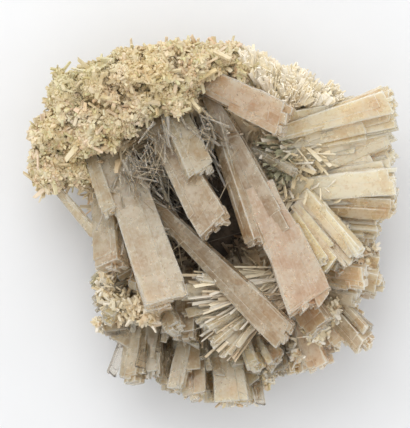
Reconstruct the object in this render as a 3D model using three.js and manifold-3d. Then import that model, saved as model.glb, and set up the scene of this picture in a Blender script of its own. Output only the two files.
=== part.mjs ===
// A loose hand specimen of gypsum blades with a sulfur-yellow crust and a hollow full of needles.
// Millimetres, +Z up. It rests on the flat cut of its rock at z = 0.

import * as THREE from 'three';
import { ConvexGeometry } from 'three/addons/geometries/ConvexGeometry.js';
import { mergeVertices } from 'three/addons/utils/BufferGeometryUtils.js';
import Module from 'manifold-3d';

const wasm = await Module();
wasm.setup();

// Driving dimensions
const GAP = 0.3;
const ROCK_RADIUS = 37;
const ROCK_HEIGHT = 13;
const BED_BOTTOM = 5;
const BED_TOP = 27;
const LOWEST_CRYSTAL = 2.5;
const HOLLOW = { x: -5, y: 9, radiusX: 22, radiusY: 24 };

const UP = new THREE.Vector3(0, 0, 1);
const DEGREE = Math.PI / 180;
const FULL_TURN = 2 * Math.PI;
const GOLDEN_TURN = 2.399963;

// The specimen's outline in plan, every 30 degrees from +X
const OUTLINE = [60, 60, 57, 57, 61, 64, 44, 45, 54, 59, 59, 62];

// The bed's outer edge in plan, at the same angles
const BED_EDGE = [44, 45, 45, 47, 49, 50, 35, 35, 40, 43, 44, 45];

// The main crystals, each from its root to its tip, with its width and thickness at both ends.
// The roll turns it about its own length, and the slant tilts its end face.
const RIGHT_FAN = [
  { from: [22, 31, 29], to: [59, 41.5, 42], wide: [5, 8], thick: [5, 6], roll: 12, slant: 0.2 },
  { from: [44, 37, 36], to: [58.5, 44, 40], wide: [4, 5.5], thick: [4, 4.5], roll: -14 },
  { from: [24, 27.5, 26], to: [60.5, 35.5, 36], wide: [5.5, 6.5], thick: [5, 5.5], roll: -8 },
  { from: [24, 15.5, 24], to: [59.5, 30.5, 31], wide: [5, 5.2], thick: [5, 5], roll: 10 },
  { from: [26, 15, 22], to: [60.5, 24, 27], wide: [6, 6.5], thick: [6, 6], roll: -10, slant: 0.2 },
  { from: [27, 12, 25], to: [60.5, 15, 37], wide: [7.5, 8.6], thick: [6, 7], roll: 8 },
  { from: [27, 9, 22], to: [60.5, 7.2, 32], wide: [7, 8], thick: [7, 7.5], roll: 34, slant: -0.3 },
  { from: [30, 2, 16], to: [56, 0.6, 24], wide: [6, 7], thick: [6, 6.5], roll: -20, slant: 0.3 },
  { from: [34, -2, 15], to: [54.5, -4.6, 19], wide: [4, 4], thick: [4, 4], roll: 20 },
  { from: [33, -7, 12], to: [56, -9.2, 16], wide: [5, 5.2], thick: [5, 5], roll: 0 },
  { from: [33, -12, 14], to: [57, -18.6, 20], wide: [6, 6.4], thick: [6, 6], roll: 25 },
  { from: [33, -16, 10], to: [55.5, -22, 13], wide: [5, 5.4], thick: [5, 5], roll: -15 },
];

const FRONT_BLADES = [
  { from: [31, 11, 30], to: [48, -9.5, 43], wide: [4.5, 5], thick: [4, 4.5], roll: 20 },
  { from: [28, 7, 30], to: [45, -12, 40], wide: [5, 5.6], thick: [4.5, 5], roll: -15 },
  { from: [27, 3, 32], to: [36.5, -12, 45], wide: [4, 4.4], thick: [4, 4], roll: 10 },
  { from: [27, -14, 24], to: [50.5, -17, 37], wide: [6.6, 7], thick: [6, 7], roll: 5, slant: 0.15 },
  { from: [28, -18, 20], to: [48.5, -24, 30], wide: [5, 5.4], thick: [5, 5], roll: 30 },
  { from: [30, -22, 17], to: [48.5, -26, 24], wide: [4, 4.2], thick: [4, 4], roll: 0 },
  { from: [32, -18, 17], to: [51.5, -40, 31], wide: [5, 6], thick: [5, 6], roll: 38, slant: 0.25 },
  { from: [31, -22, 18], to: [43.5, -40, 25], wide: [5, 5.6], thick: [5, 5.5], roll: 0 },
  { from: [28, -24, 20], to: [36, -47.5, 26], wide: [6, 6.8], thick: [6, 6.5], roll: 12 },
  { from: [25, -28, 15], to: [28.5, -49, 20], wide: [6, 6.6], thick: [6, 6], roll: -18 },
];

const BRIDGES = [
  { from: [-16, 44, 22], to: [-3.8, 17, 43], wide: [8, 9.6], thick: [4.5, 5], roll: -18, slant: 0.4 },
  { from: [-21, 40, 22], to: [1.2, -1.5, 49], wide: [7, 10.8], thick: [5, 8], roll: 10, slant: 0.3 },
  { from: [-1, 45, 24], to: [24, -5, 43], wide: [4.5, 11.4], thick: [5, 6.5], roll: 14 },
  { from: [-3, 42, 22], to: [13, -6, 45], wide: [3.6, 5], thick: [4, 6], roll: -34 },
  { from: [-30, 18, 24], to: [24.5, -36.5, 46], wide: [3.4, 9.4], thick: [4, 6], roll: 12, slant: 0.3 },
  { from: [16, 12, 30], to: [32.5, -26, 48], wide: [11, 16], thick: [6, 9], roll: -6, slant: 0.2 },
  { from: [22, -12, 26], to: [36, -34, 38], wide: [7, 9], thick: [6, 7], roll: 24 },
  { from: [-6, 50, 26], to: [24.5, 34, 45], wide: [8.5, 10.4], thick: [7, 8], roll: 10, slant: 0.2 },
  { from: [5, 30, 22], to: [28, 17.6, 34], wide: [2.6, 3], thick: [2, 2.4], roll: 30 },
];

const BACK_BLADES = [
  { from: [8, 40, 16], to: [14, 24, 28], wide: [6, 7], thick: [6, 6], roll: 20 },
  { from: [16, 38, 16], to: [21, 24, 29], wide: [6, 7.5], thick: [6, 7], roll: -20 },
  { from: [25, 34, 16], to: [26, 21, 31], wide: [6, 6], thick: [6, 6], roll: 10 },
  { from: [30, 36, 18], to: [33, 24, 35], wide: [5, 6], thick: [5, 5], roll: -12 },
  { from: [26, 12, 12], to: [17, 12, 27], wide: [7, 6], thick: [6, 5], roll: 15 },
];

const LEFT_BLADES = [
  { from: [-41, 26, 24], to: [-33, 3.5, 39], wide: [4, 5], thick: [4, 4.4], roll: 10 },
  { from: [-36, 14, 20], to: [-33, -14.5, 40], wide: [6.4, 8.8], thick: [6, 7], roll: 28 },
  { from: [-53, 14, 22], to: [-38, -3.5, 31], wide: [2.8, 3.4], thick: [1.4, 1.6], roll: 30 },
  { from: [-33, 26, 22], to: [-14.4, -25, 52], wide: [11, 13.6], thick: [7, 9], roll: -8, slant: -0.2 },
  { from: [-17, -23, 22], to: [-11.8, -34, 45], wide: [4.6, 5.4], thick: [4, 4.8], roll: 20 },
  { from: [-30, -12, 18], to: [-39.5, -20, 25], wide: [5, 4.6], thick: [5, 4.6], roll: 12 },
  { from: [-29, -18, 18], to: [-39, -27, 24], wide: [5, 4.6], thick: [5, 4.6], roll: -20 },
  { from: [-28, -22, 20], to: [-35, -31, 32], wide: [5, 4.4], thick: [5, 4.4], roll: 22 },
];

const LOWER_PRISMS = [
  { from: [-20, -32, 19], to: [-37, -34, 24], wide: [4, 4], thick: [4, 4], roll: 20 },
  { from: [-24, -26, 18], to: [-26.8, -52, 26], wide: [5.6, 6.4], thick: [5.6, 6], roll: 30, slant: 0.2 },
  { from: [-19, -26, 20], to: [-19, -50, 29], wide: [4, 4.4], thick: [4, 4.4], roll: 12 },
  { from: [-15, -26, 16], to: [-14.8, -54.5, 25], wide: [3.8, 4.2], thick: [3.8, 4], roll: 25 },
  { from: [-11, -26, 14], to: [-13.4, -55.5, 19], wide: [3.4, 3.6], thick: [3.4, 3.6], roll: -10 },
  { from: [-6, -27, 22], to: [-12, -54, 32], wide: [4.4, 5], thick: [4, 4.6], roll: 20 },
  { from: [-6, -27, 16], to: [-5.8, -57.5, 27], wide: [6.6, 7.6], thick: [6, 7], roll: 8, slant: 0.3 },
  { from: [-8, -22, 28], to: [-9, -37, 38], wide: [6, 6.6], thick: [6, 6.6], roll: 15 },
  { from: [-2, -25, 12], to: [0, -57, 19], wide: [4, 4.2], thick: [4, 4], roll: 0 },
  { from: [3, -25, 15], to: [7.4, -59, 28], wide: [9, 11], thick: [8, 9], roll: 10, slant: -0.15 },
  { from: [8, -28, 12], to: [13.4, -59.5, 20], wide: [6, 6.4], thick: [6, 6], roll: -12 },
  { from: [8, -28, 24], to: [15, -47.5, 36], wide: [4, 4.4], thick: [4, 4.4], roll: 30 },
  { from: [9, -30, 20], to: [21.5, -46, 34], wide: [5, 5.4], thick: [4.6, 5], roll: -20 },
  { from: [18, -30, 16], to: [22.5, -50, 23], wide: [4, 4.4], thick: [4, 4.4], roll: 10 },
];

// The feathery fan of thin plates: they leave one place and spread to the left
const PLATE_FAN = { from: [20, -22, 30], reach: 31, tipHeight: 40, first: 168, last: 232, count: 6 };

// The crust's lumps along the upper left rim: middle, then half sizes
const CRUST_LUMPS = [
  { at: [-54, 19, 23], size: [8, 8.5, 10] },
  { at: [-51, 30, 24], size: [10, 9, 13] },
  { at: [-47, 42, 26], size: [9, 8.5, 14] },
  { at: [-37, 47, 28], size: [9, 10, 15] },
  { at: [-28, 50.5, 30], size: [9, 9.5, 15] },
  { at: [-18, 51.5, 31], size: [9, 9.5, 15] },
  { at: [-8, 53, 30], size: [9, 9, 14] },
  { at: [2, 55, 26], size: [7, 6, 11] },
  { at: [11, 50.5, 25], size: [6.5, 6, 9] },
  { at: [19, 46.5, 25], size: [6.5, 6, 8] },
  { at: [26, 42, 26], size: [7.5, 8, 9] },
  { at: [33, 37, 26], size: [6, 6, 9] },
  { at: [-41, 31, 29], size: [8, 9, 11] },
  { at: [-33, 35, 30], size: [8, 8, 9] },
  { at: [-24, 40, 31], size: [8, 7, 9] },
  { at: [-12, 43, 31], size: [8, 6.5, 8] },
  { at: [-44, 19, 22], size: [9, 7, 9] },
  { at: [-47, 31, 13], size: [9, 10, 9] },
  { at: [-31, 44, 13], size: [11, 9, 9] },
  { at: [-9, 48, 14], size: [12, 8, 9] },
];
const CRUST_CRYSTALS_PER_LUMP = 2;
const CRUST_SECTOR = { first: 78, last: 172 };
const NEEDLE_COUNT = 30;

// A repeatable number from 0 to 1 for each whole number
function chance(number) {
  const scattered = Math.sin(number * 12.9898 + 4.1) * 43758.5453;
  return scattered - Math.floor(scattered);
}

function between(low, high, share) {
  return low + (high - low) * share;
}

function solidOf(geometry) {
  geometry.deleteAttribute('normal');
  geometry.deleteAttribute('uv');
  const merged = mergeVertices(geometry, 1e-4);
  return new wasm.Manifold(new wasm.Mesh({
    numProp: 3,
    vertProperties: merged.attributes.position.array,
    triVerts: new Uint32Array(merged.index.array),
  }));
}

function joined(solids) {
  return solids.reduce((all, next) => all.add(next));
}

function largestBody(solid) {
  const bodies = solid.decompose();
  return bodies.reduce((best, next) => (next.volume() > best.volume() ? next : best));
}

// The corners of a crystal's cross-section, as shares of its width and thickness
const SIX_SIDED = [[-0.5, -0.15], [-0.42, 0.42], [0.3, 0.5], [0.5, 0.2], [0.42, -0.4], [-0.32, -0.5]];
const FOUR_SIDED = [[-0.5, -0.3], [-0.36, 0.5], [0.5, 0.3], [0.36, -0.5]];
const THREE_SIDED = [[-0.5, -0.4], [0, 0.5], [0.5, -0.4]];
const SLENDER = 5;

// A faceted blade or prism with a slanted end, bevelled where it isn't slender.
// The growth makes it larger on every side.
function crystal({ from, to, wide, thick, roll = 0, slant = 0.1, corners }, growth = 0) {
  const root = new THREE.Vector3(...from);
  const tip = new THREE.Vector3(...to);
  const axis = tip.clone().sub(root).normalize();
  const across = axis.clone().cross(UP).normalize().applyAxisAngle(axis, roll * DEGREE);
  const outward = across.clone().cross(axis);
  const length = root.distanceTo(tip);
  const slender = wide[1] < SLENDER;
  const section = corners ?? (slender ? FOUR_SIDED : SIX_SIDED);
  const bevel = 0.16 * Math.min(wide[1], thick[1]);
  const stations = [
    { along: -growth, width: wide[0], thickness: thick[0], lean: 0 },
    { along: length - bevel, width: wide[1], thickness: thick[1], lean: slant },
    { along: length + growth, width: 0.8 * wide[1], thickness: 0.74 * thick[1], lean: slant },
  ];
  if (slender) stations.splice(1, 1);
  const points = [];
  for (const station of stations) {
    for (const [u, v] of section) {
      const point = root.clone();
      point.addScaledVector(axis, station.along + station.lean * u * station.width);
      point.addScaledVector(across, u * (station.width + 2.4 * growth));
      point.addScaledVector(outward, v * (station.thickness + 2.4 * growth));
      points.push(point);
    }
  }
  return solidOf(new ConvexGeometry(points));
}

// A radius at an angle, smoothly between the ones stated every 30 degrees
function radiusAt(radii, angle) {
  const place = (((angle / FULL_TURN) % 1) + 1) % 1 * radii.length;
  const index = Math.floor(place);
  const share = place - index;
  const smooth = share * share * (3 - 2 * share);
  return between(radii[index % radii.length], radii[(index + 1) % radii.length], smooth);
}

// The rock: a low lump with a flat cut underneath
function rock(growth) {
  const sides = 22;
  const profile = [
    [0, -growth],
    [ROCK_RADIUS - 3 + growth, -growth],
    [ROCK_RADIUS + growth, 4],
    [ROCK_RADIUS - 2 + growth, 8],
    [ROCK_RADIUS - 9 + growth, ROCK_HEIGHT - 1 + growth],
    [14, ROCK_HEIGHT + growth],
    [0, ROCK_HEIGHT + 0.6 + growth],
  ].map(([radius, height]) => new THREE.Vector2(radius, height));
  const lathe = new THREE.LatheGeometry(profile, sides);
  lathe.rotateX(Math.PI / 2);
  const place = lathe.attributes.position;
  for (let i = 0; i < place.count; i += 1) {
    const angle = Math.atan2(place.getY(i), place.getX(i));
    const lumpy = 1 + 0.05 * Math.sin(3 * angle + 1) + 0.035 * Math.sin(5 * angle + 2.4);
    place.setX(i, place.getX(i) * lumpy);
    place.setY(i, place.getY(i) * lumpy);
  }
  return solidOf(lathe);
}

// The bed: the ring of grown-together crystal that all the blades leave, round the hollow
function bed(growth) {
  const ring = new THREE.TorusGeometry(1, 0.5, 6, 22);
  const place = ring.attributes.position;
  const height = (BED_BOTTOM + BED_TOP) / 2;
  const halfHeight = (BED_TOP - BED_BOTTOM) / 2;
  for (let i = 0; i < place.count; i += 1) {
    const angle = Math.atan2(place.getY(i), place.getX(i));
    const share = Math.hypot(place.getX(i), place.getY(i)) - 0.5;
    const rise = place.getZ(i) * 2;
    const rough = 1.4 * Math.sin(9 * angle + 4 * rise) + 1.1 * Math.sin(15 * angle + 2 * share);
    const outer = radiusAt(BED_EDGE, angle) + rough + growth;
    const innerX = HOLLOW.x + Math.cos(angle) * (HOLLOW.radiusX + rough - growth);
    const innerY = HOLLOW.y + Math.sin(angle) * (HOLLOW.radiusY + rough - growth);
    place.setX(i, between(innerX, Math.cos(angle) * outer, share));
    place.setY(i, between(innerY, Math.sin(angle) * outer, share));
    place.setZ(i, height + rise * (halfHeight + rough + growth));
  }
  return solidOf(ring);
}

// The plates of the feathery fan
function plateFan() {
  const [x, y, z] = PLATE_FAN.from;
  return Array.from({ length: PLATE_FAN.count }, (_, i) => {
    const angle = between(PLATE_FAN.first, PLATE_FAN.last, i / (PLATE_FAN.count - 1)) * DEGREE;
    const reach = PLATE_FAN.reach * between(0.8, 1, chance(i + 50));
    const tip = [x + Math.cos(angle) * reach, y + Math.sin(angle) * reach];
    return {
      from: [x, y, z],
      to: [...tip, PLATE_FAN.tipHeight - 3 * chance(i + 70)],
      wide: [3.2, 3.8],
      thick: [1.6, 1.8],
      roll: between(20, 60, chance(i + 90)),
    };
  });
}

// A tier of plain prisms round the sides, which point outward under the main crystals,
// everywhere but behind the crust
function sideTier({ count, from, height, rise, inset, size, seed }) {
  const places = Array.from({ length: count }, (_, i) => ({
    i,
    angle: ((i + 0.7 * chance(seed + i)) / count) * FULL_TURN,
  }));
  const open = ({ angle }) => angle < CRUST_SECTOR.first * DEGREE || angle > CRUST_SECTOR.last * DEGREE;
  return places.filter(open).map(({ i, angle }) => {
    const reach = radiusAt(OUTLINE, angle) - inset - 5 * chance(seed + i + 100);
    const turn = angle + 0.16 * (chance(seed + i + 200) - 0.5);
    const width = size * between(0.75, 1.25, chance(seed + i + 300));
    const low = height + 3 * (chance(seed + i + 400) - 0.5);
    return {
      from: [Math.cos(angle) * from, Math.sin(angle) * from, low],
      to: [Math.cos(turn) * reach, Math.sin(turn) * reach, Math.max(low + rise, LOWEST_CRYSTAL + width / 2)],
      wide: [width, width],
      thick: [0.85 * width, 0.85 * width],
      roll: 60 * chance(seed + i + 500),
      corners: FOUR_SIDED,
    };
  });
}

const SIDE_TIERS = [
  { count: 19, from: 32, height: 10, rise: -4, inset: 9, size: 6, seed: 11 },
  { count: 17, from: 34, height: 18, rise: 1, inset: 5, size: 6.5, seed: 37 },
];

const CRYSTALS = [
  ...RIGHT_FAN,
  ...FRONT_BLADES,
  ...BRIDGES,
  ...BACK_BLADES,
  ...LEFT_BLADES,
  ...LOWER_PRISMS,
  ...plateFan(),
  ...SIDE_TIERS.flatMap(sideTier),
];

function cluster(growth) {
  return joined([bed(growth), ...CRYSTALS.map((one) => crystal(one, growth))]);
}

// A rough lump with flat facets, on points spread evenly round its middle
function lump({ at, size }, seed, pointCount = 12) {
  const points = Array.from({ length: pointCount }, (_, i) => {
    const lift = 1 - (2 * i + 1) / pointCount;
    const flat = Math.sqrt(1 - lift * lift);
    const turn = i * GOLDEN_TURN + seed;
    const swell = between(0.92, 1.14, chance(seed * 60 + i));
    return new THREE.Vector3(
      at[0] + Math.cos(turn) * flat * size[0] * swell,
      at[1] + Math.sin(turn) * flat * size[1] * swell,
      at[2] + lift * size[2] * swell,
    );
  });
  return solidOf(new ConvexGeometry(points));
}

// Small crystals that stand out of a crust lump, upward and away from the hollow
function lumpCrystals({ at, size }, seed) {
  return Array.from({ length: CRUST_CRYSTALS_PER_LUMP }, (_, i) => {
    const turn = i * GOLDEN_TURN + seed;
    const lift = between(0.1, 0.95, (i + 0.5) / CRUST_CRYSTALS_PER_LUMP);
    const flat = Math.sqrt(1 - lift * lift);
    const way = [Math.cos(turn) * flat, Math.sin(turn) * flat, lift];
    const width = between(3, 5, chance(seed * 20 + i + 700));
    return {
      from: at.map((value, k) => value + way[k] * size[k] * 0.6),
      to: at.map((value, k) => value + way[k] * (size[k] + 2)),
      wide: [width, width],
      thick: [0.8 * width, 0.8 * width],
      corners: THREE_SIDED,
    };
  });
}

function crust(clearance) {
  const lumps = CRUST_LUMPS.map((one, seed) => lump(one, seed));
  const crystals = CRUST_LUMPS.flatMap(lumpCrystals).map((one) => crystal(one));
  return largestBody(joined([...lumps, ...crystals]).subtract(clearance));
}

// The needle crust on the hollow's floor, with needles that lean all ways
function needles(clearance) {
  const floor = lump({
    at: [HOLLOW.x, HOLLOW.y, ROCK_HEIGHT + 2.5],
    size: [HOLLOW.radiusX + 2, HOLLOW.radiusY + 2, 3.4],
  }, 7, 20);
  const stems = Array.from({ length: NEEDLE_COUNT }, (_, i) => {
    const turn = i * GOLDEN_TURN;
    const out = Math.sqrt((i + 0.5) / NEEDLE_COUNT) * 0.92;
    const x = HOLLOW.x + Math.cos(turn) * out * HOLLOW.radiusX;
    const y = HOLLOW.y + Math.sin(turn) * out * HOLLOW.radiusY;
    const length = between(5, 9, chance(i + 900)) + (out > 0.72 ? 8 : 0);
    const lean = out > 0.72 ? turn + 2 * (chance(i + 950) - 0.5) : chance(i + 950) * FULL_TURN;
    const tilt = between(0.3, 0.9, chance(i + 1000));
    return crystal({
      from: [x, y, ROCK_HEIGHT + 2.5],
      to: [
        x + Math.cos(lean) * Math.sin(tilt) * length,
        y + Math.sin(lean) * Math.sin(tilt) * length,
        ROCK_HEIGHT + 2.5 + Math.cos(tilt) * length,
      ],
      wide: [1.6, 1],
      thick: [1.4, 0.9],
      corners: THREE_SIDED,
    });
  });
  return largestBody(joined([floor, ...stems]).subtract(clearance));
}

function meshOf(name, solid, look) {
  const made = solid.getMesh();
  const geometry = new THREE.BufferGeometry();
  geometry.setAttribute('position', new THREE.BufferAttribute(made.vertProperties, 3));
  geometry.setIndex(new THREE.BufferAttribute(made.triVerts, 1));
  const flat = geometry.toNonIndexed();
  flat.computeVertexNormals();
  const mesh = new THREE.Mesh(flat, new THREE.MeshStandardMaterial(look));
  mesh.name = name;
  return mesh;
}

const rockAndGap = rock(GAP);
const grownCluster = cluster(GAP);
const clusterSolid = cluster(0).subtract(rockAndGap);
if (clusterSolid.decompose().length > 1) throw new Error('a crystal is joined to nothing');
const crustSolid = crust(grownCluster.add(rockAndGap));
const needleSolid = needles(grownCluster.add(rockAndGap));

const specimen = new THREE.Group();
specimen.add(
  meshOf('matrix', rock(0), { color: 0x4a3a2c, roughness: 0.95, metalness: 0 }),
  meshOf('crystal_cluster', clusterSolid, { color: 0xe6d3bf, roughness: 0.25, metalness: 0 }),
  meshOf('sulfur_crust', crustSolid, { color: 0xdccfa0, roughness: 0.6, metalness: 0 }),
  meshOf('hollow_needles', needleSolid, { color: 0xb9ab97, roughness: 0.5, metalness: 0 }),
);

// The origin is the middle of the footprint's box, on the surface that the specimen rests on
const box = new THREE.Box3().setFromObject(specimen);
const middle = box.getCenter(new THREE.Vector3());
specimen.position.set(-middle.x, -middle.y, -box.min.z);

export default specimen;
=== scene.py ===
# A loose specimen of gypsum blades with a sulfur-yellow crust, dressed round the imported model.
# Shapes are worked out in millimetres and turned into metres when a mesh is made.
import math

import bpy
import numpy as np
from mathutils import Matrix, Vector


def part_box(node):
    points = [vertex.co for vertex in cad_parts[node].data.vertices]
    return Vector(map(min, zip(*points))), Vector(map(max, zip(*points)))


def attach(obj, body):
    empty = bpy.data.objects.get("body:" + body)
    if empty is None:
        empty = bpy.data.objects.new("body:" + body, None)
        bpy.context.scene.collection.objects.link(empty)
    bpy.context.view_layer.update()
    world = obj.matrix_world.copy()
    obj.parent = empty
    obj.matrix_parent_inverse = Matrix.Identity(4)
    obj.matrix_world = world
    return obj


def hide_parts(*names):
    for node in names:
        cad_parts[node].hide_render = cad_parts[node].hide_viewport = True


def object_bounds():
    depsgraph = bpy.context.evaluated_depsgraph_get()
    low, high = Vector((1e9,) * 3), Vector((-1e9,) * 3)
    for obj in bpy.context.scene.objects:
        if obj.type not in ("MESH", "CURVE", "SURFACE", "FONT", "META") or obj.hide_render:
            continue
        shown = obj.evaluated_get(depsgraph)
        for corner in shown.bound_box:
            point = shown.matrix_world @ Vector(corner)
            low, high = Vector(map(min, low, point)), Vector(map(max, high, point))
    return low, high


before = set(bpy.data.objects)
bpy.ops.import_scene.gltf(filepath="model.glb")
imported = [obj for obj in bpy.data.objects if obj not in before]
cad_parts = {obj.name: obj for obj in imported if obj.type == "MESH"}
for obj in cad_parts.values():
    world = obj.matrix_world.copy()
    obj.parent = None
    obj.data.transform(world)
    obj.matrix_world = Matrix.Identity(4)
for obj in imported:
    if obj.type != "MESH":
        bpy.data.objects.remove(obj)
CAD_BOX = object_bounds()

MM = 0.001
# The rock's lowest corner in these millimetres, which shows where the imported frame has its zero
ROCK_CORNER = np.array([-34.77, -38.95, 0.0])
OFFSET = np.array(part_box("matrix")[0]) / MM - ROCK_CORNER
LOW, HIGH = (np.array(corner) / MM - OFFSET for corner in CAD_BOX)
HOLLOW = {"x": -5.0, "y": 9.0, "radius_x": 22.0, "radius_y": 24.0}
BED_BOTTOM = 5.0
BED_TOP = 27.0
ROCK_RADIUS = 38
FULL_TURN = 2 * math.pi
IMAGE_HEIGHT = 428
PIXEL_MM = 1 / 3

# Radii in plan every 30 degrees from +X: the specimen's outline and the bed's edge
OUTLINE = [60, 60, 57, 57, 61, 64, 44, 45, 54, 59, 59, 62]
BED_EDGE = [44, 45, 45, 47, 49, 50, 35, 35, 40, 43, 44, 45]

# Base colours, as linear red, green and blue
PALETTE = {
    "cream": (0.86, 0.73, 0.48),
    "ivory": (0.90, 0.81, 0.60),
    "tan": (0.68, 0.52, 0.31),
    "peach": (0.72, 0.54, 0.34),
    "rose": (0.69, 0.49, 0.31),
    "milk": (0.64, 0.54, 0.38),
    "smoke": (0.50, 0.38, 0.24),
    "green": (0.46, 0.46, 0.30),
    "glass": (0.63, 0.53, 0.36),
    "yellow": (0.76, 0.62, 0.34),
    "olive": (0.58, 0.54, 0.28),
    "rust": (0.50, 0.26, 0.12),
    # The near-black brown that the painted shade in the hollow darkens towards
    "painted_shade_brown": (0.06, 0.04, 0.025),
    # A near-white: the painted highlight on bevels, and a colour of small crystals
    "edge": (0.94, 0.89, 0.77),
}

# Colours inside the crystals' material
WHITE = (1.0, 0.99, 0.97, 1)
MILKY = (0.88, 0.78, 0.62, 1)
WARM = (0.84, 0.68, 0.52, 1)
PALE = (0.94, 0.87, 0.73, 1)
DUSTY = (0.76, 0.64, 0.50, 1)

# The main crystals: root, tip, widths, thicknesses, roll, slant and colour
RIGHT_FAN = [
    ((22, 31, 29), (59, 41.5, 42), (5, 8), (5, 6), 12, 0.2, "cream"),
    ((44, 37, 36), (58.5, 44, 40), (4, 5.5), (4, 4.5), -14, 0.1, "cream"),
    ((24, 27.5, 26), (60.5, 35.5, 36), (5.5, 6.5), (5, 5.5), -8, 0.1, "cream"),
    ((24, 15.5, 24), (59.5, 30.5, 31), (5, 5.2), (5, 5), 10, 0.1, "ivory"),
    ((26, 15, 22), (60.5, 24, 27), (6, 6.5), (6, 6), -10, 0.2, "cream"),
    ((27, 12, 25), (60.5, 15, 37), (7.5, 8.6), (6, 7), 8, 0.1, "ivory"),
    ((27, 9, 22), (60.5, 7.2, 32), (7, 8), (7, 7.5), 34, -0.3, "tan"),
    ((30, 2, 16), (56, 0.6, 24), (6, 7), (6, 6.5), -20, 0.3, "cream"),
    ((34, -2, 15), (54.5, -4.6, 19), (4, 4), (4, 4), 20, 0.1, "tan"),
    ((33, -7, 12), (56, -9.2, 16), (5, 5.2), (5, 5), 0, 0.1, "smoke"),
    ((33, -12, 14), (57, -18.6, 20), (6, 6.4), (6, 6), 25, 0.1, "tan"),
    ((33, -16, 10), (55.5, -22, 13), (5, 5.4), (5, 5), -15, 0.1, "smoke"),
]
FRONT_BLADES = [
    ((31, 11, 30), (48, -9.5, 43), (4.5, 5), (4, 4.5), 20, 0.1, "cream"),
    ((28, 7, 30), (45, -12, 40), (5, 5.6), (4.5, 5), -15, 0.1, "tan"),
    ((27, 3, 32), (36.5, -12, 45), (4, 4.4), (4, 4), 10, 0.1, "yellow"),
    ((27, -14, 24), (50.5, -17, 37), (6.6, 7), (6, 7), 5, 0.15, "peach"),
    ((28, -18, 20), (48.5, -24, 30), (5, 5.4), (5, 5), 30, 0.1, "milk"),
    ((30, -22, 17), (48.5, -26, 24), (4, 4.2), (4, 4), 0, 0.1, "tan"),
    ((32, -18, 17), (51.5, -40, 31), (5, 6), (5, 6), 38, 0.25, "smoke"),
    ((31, -22, 18), (43.5, -40, 25), (5, 5.6), (5, 5.5), 0, 0.1, "peach"),
    ((28, -24, 20), (36, -47.5, 26), (6, 6.8), (6, 6.5), 12, 0.1, "rose"),
    ((25, -28, 15), (28.5, -49, 20), (6, 6.6), (6, 6), -18, 0.1, "tan"),
]
BRIDGES = [
    ((-16, 44, 22), (-3.8, 17, 43), (8, 9.6), (4.5, 5), -18, 0.4, "glass"),
    ((-21, 40, 22), (1.2, -1.5, 49), (7, 10.8), (5, 8), 10, 0.3, "smoke"),
    ((-1, 45, 24), (22.5, -5, 41), (4.5, 11.4), (5, 6.5), 14, 0.1, "smoke"),
    ((-1.5, 42, 22), (14.5, -6, 43), (3.6, 4.6), (4, 6), -34, 0.1, "smoke"),
    ((-30, 18, 24), (24.5, -36.5, 46), (3.4, 9.4), (4, 6), 12, 0.3, "smoke"),
    ((16, 13, 35), (32.5, -26, 48), (10, 16), (6, 9), -6, 0.2, "rose"),
    ((22, -12, 26), (36, -34, 38), (7, 9), (6, 7), 24, 0.1, "peach"),
    ((-6, 50, 26), (24.5, 34, 45), (8.5, 10.4), (7, 8), 10, 0.2, "rose"),
    ((5, 30, 22), (28, 17.6, 34), (2.6, 3), (2, 2.4), 30, 0.1, "glass"),
]
LEFT_BLADES = [
    ((-41, 26, 24), (-33, 3.5, 39), (4, 5), (4, 4.4), 10, 0.1, "glass"),
    ((-36, 14, 20), (-33, -14.5, 40), (6.4, 8.8), (6, 7), 28, 0.1, "milk"),
    ((-53, 14, 22), (-38, -3.5, 31), (2.8, 3.4), (1.4, 1.6), 30, 0.1, "glass"),
    ((-33, 26, 22), (-14.4, -25, 52), (11, 13.6), (7, 9), -8, -0.2, "milk"),
    ((-17, -23, 22), (-11.8, -34, 45), (4.6, 5.4), (4, 4.8), 20, 0.1, "glass"),
    ((-30, -12, 18), (-39.5, -20, 25), (5, 4.6), (5, 4.6), 12, 0.1, "olive"),
    ((-29, -18, 18), (-39, -27, 24), (5, 4.6), (5, 4.6), -20, 0.1, "milk"),
    ((-28, -22, 20), (-35, -31, 32), (5, 4.4), (5, 4.4), 22, 0.1, "yellow"),
]
LOWER_PRISMS = [
    ((-20, -32, 19), (-37, -34, 24), (4, 4), (4, 4), 20, 0.1, "milk"),
    ((-24, -26, 18), (-26.8, -52, 26), (5.6, 6.4), (5.6, 6), 30, 0.2, "glass"),
    ((-19, -26, 20), (-19, -50, 29), (4, 4.4), (4, 4.4), 12, 0.1, "milk"),
    ((-15, -26, 16), (-14.8, -54.5, 25), (3.8, 4.2), (3.8, 4), 25, 0.1, "glass"),
    ((-11, -26, 14), (-13.4, -55.5, 19), (3.4, 3.6), (3.4, 3.6), -10, 0.1, "tan"),
    ((-6, -27, 22), (-12, -54, 32), (4.4, 5), (4, 4.6), 20, 0.1, "glass"),
    ((-6, -27, 16), (-5.8, -57.5, 27), (6.6, 7.6), (6, 7), 8, 0.3, "tan"),
    ((-8, -22, 28), (-9, -37, 38), (6, 6.6), (6, 6.6), 15, 0.1, "smoke"),
    ((-2, -25, 12), (0, -57, 19), (4, 4.2), (4, 4), 0, 0.1, "cream"),
    ((3, -25, 15), (7.4, -59, 28), (9, 11), (8, 9), 10, -0.15, "cream"),
    ((8, -28, 12), (13.4, -59.5, 20), (6, 6.4), (6, 6), -12, 0.1, "tan"),
    ((8, -28, 24), (15, -47.5, 36), (4, 4.4), (4, 4.4), 30, 0.1, "cream"),
    ((9, -30, 20), (21.5, -46, 34), (5, 5.4), (4.6, 5), -20, 0.1, "peach"),
    ((18, -30, 16), (22.5, -50, 23), (4, 4.4), (4, 4.4), 10, 0.1, "tan"),
]
PLATE_FAN = {"from": (20, -22, 30), "reach": 31, "tip": 40, "first": 168, "last": 232, "count": 6}

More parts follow.
